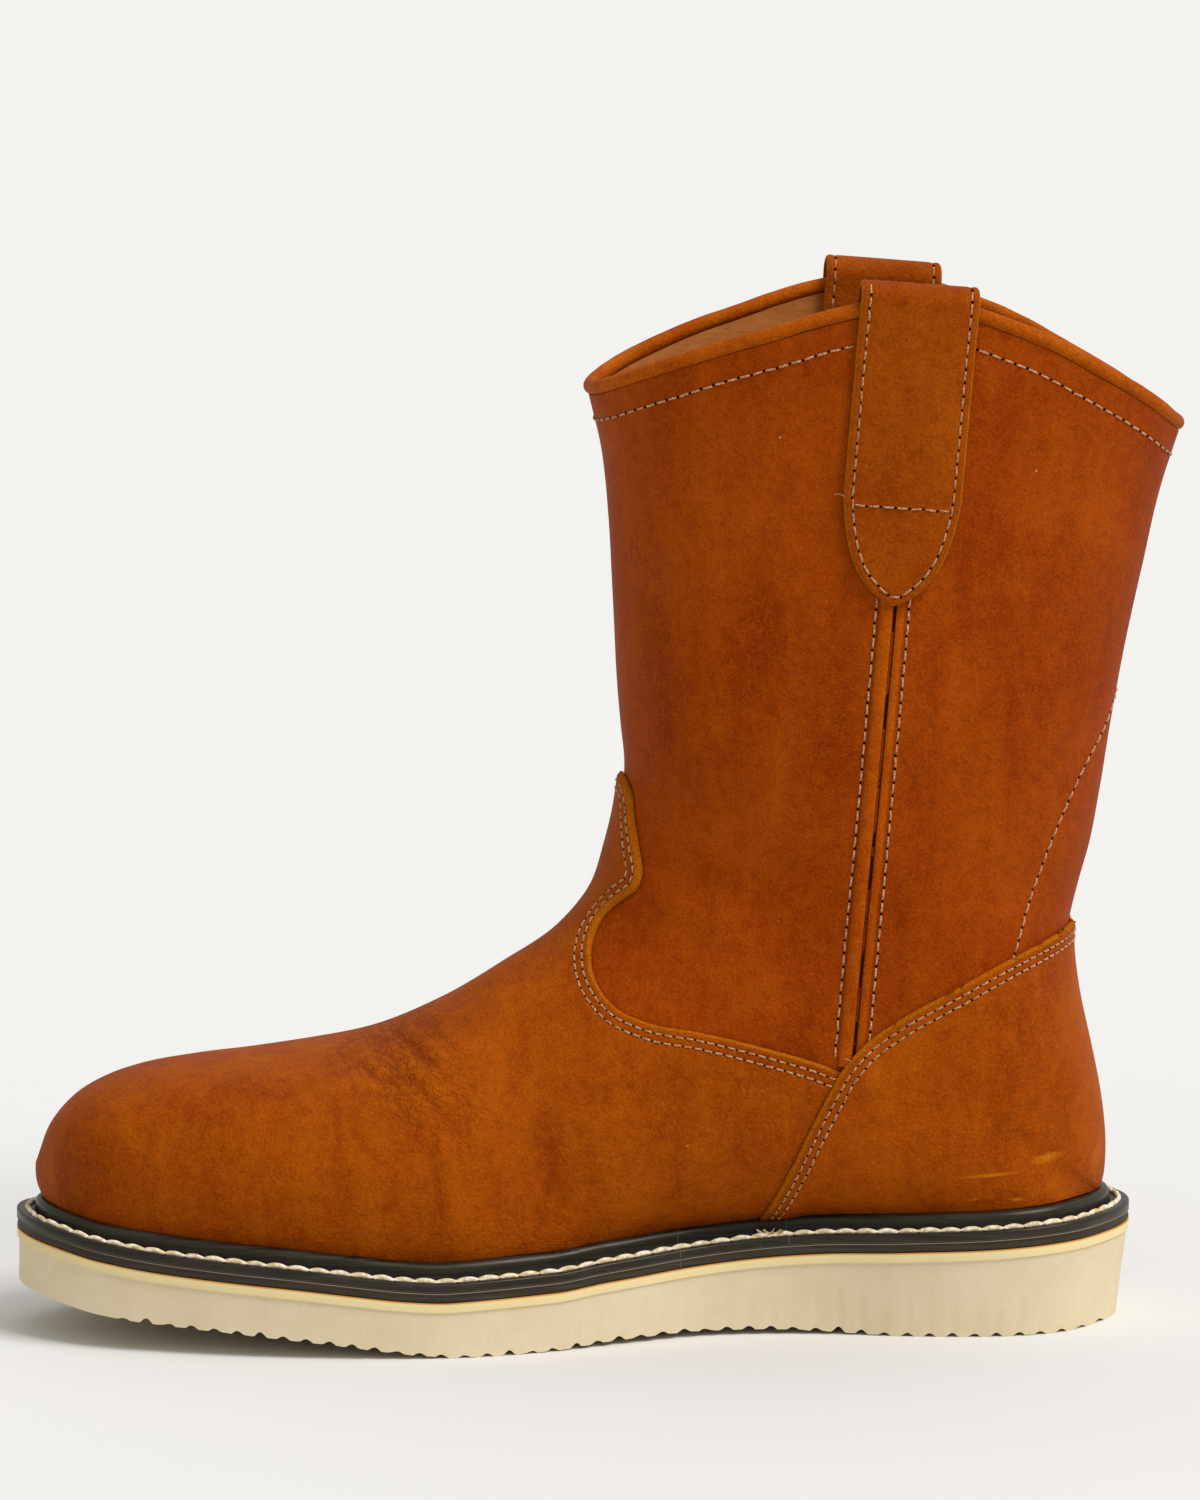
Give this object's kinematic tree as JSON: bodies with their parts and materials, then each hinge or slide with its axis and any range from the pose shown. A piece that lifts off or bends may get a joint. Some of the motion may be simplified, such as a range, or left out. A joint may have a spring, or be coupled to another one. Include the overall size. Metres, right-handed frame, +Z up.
{
  "type": "pull-on work boot",
  "caption": "Right pull-on work boot of tan leather with a vamp, counter, side seams, pull straps, rolled collar, welt and rippled wedge sole.",
  "frame": {"origin": "middle of the boot's box, on the floor that the tread stands on", "axes": "+X from toe to heel, +Y from the inner side of the foot to the outer side, +Z up"},
  "size_m": [0.3257, 0.1172, 0.2945],
  "materials": {
    "upper_leather": "satin pull-up leather, tan, with fine grain and soft darker and lighter patches",
    "overlay_leather": "satin pull-up leather, tan, with lighter raw edges",
    "strap_leather": "satin leather, tan",
    "binding_leather": "satin leather, light tan",
    "insole_leather": "matt natural leather",
    "black_rubber": "satin black",
    "wedge_foam": "matt cream foamed rubber"
  },
  "bodies": {
    "root": {"outsole": "wedge_foam", "midsole": "black_rubber", "welt": "black_rubber", "insole": "insole_leather", "upper": "upper_leather", "vamp": "overlay_leather", "counter": "overlay_leather", "side_seam_inner": "overlay_leather", "side_seam_outer": "overlay_leather", "pull_strap_inner": "strap_leather", "pull_strap_outer": "strap_leather", "collar_binding": "binding_leather"}
  },
  "joints": []
}
